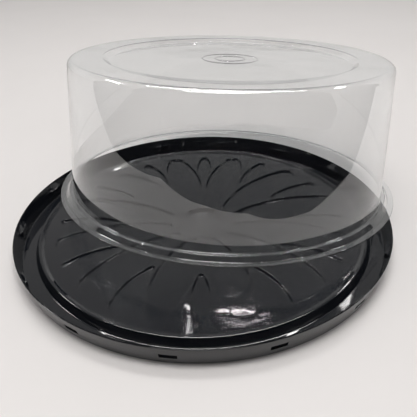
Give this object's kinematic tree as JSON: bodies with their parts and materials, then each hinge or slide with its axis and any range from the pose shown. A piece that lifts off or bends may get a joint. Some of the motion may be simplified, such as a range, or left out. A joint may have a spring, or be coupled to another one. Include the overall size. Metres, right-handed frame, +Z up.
{
  "type": "cake dome container",
  "caption": "Round shallow moulded tray with pressed petal pattern and snap pockets in its rim wall, and a loose clear plastic dome with a stepped flange, leaning on the rim.",
  "frame": {"origin": "middle of the tray's underside, on the flat under the hub where it touches the table", "axes": "+Z up along the tray's axis, out of the dish; +X in the tray's plane; the dome leans away from the tray towards +Y and a little towards +X"},
  "size_m": [0.3238, 0.3531, 0.1405],
  "materials": {
    "tray_plastic": "glossy moulded black polystyrene sheet",
    "clear_plastic": "clear glossy thermoformed sheet"
  },
  "bodies": {
    "tray": {"base_tray": "tray_plastic"},
    "dome": {"clear_dome": "clear_plastic"}
  },
  "joints": [
    {"name": "dome_lift", "type": "slide", "parent": "tray", "child": "dome", "axis": [0, 0, 1], "range_m": [0, 0.12]}
  ]
}
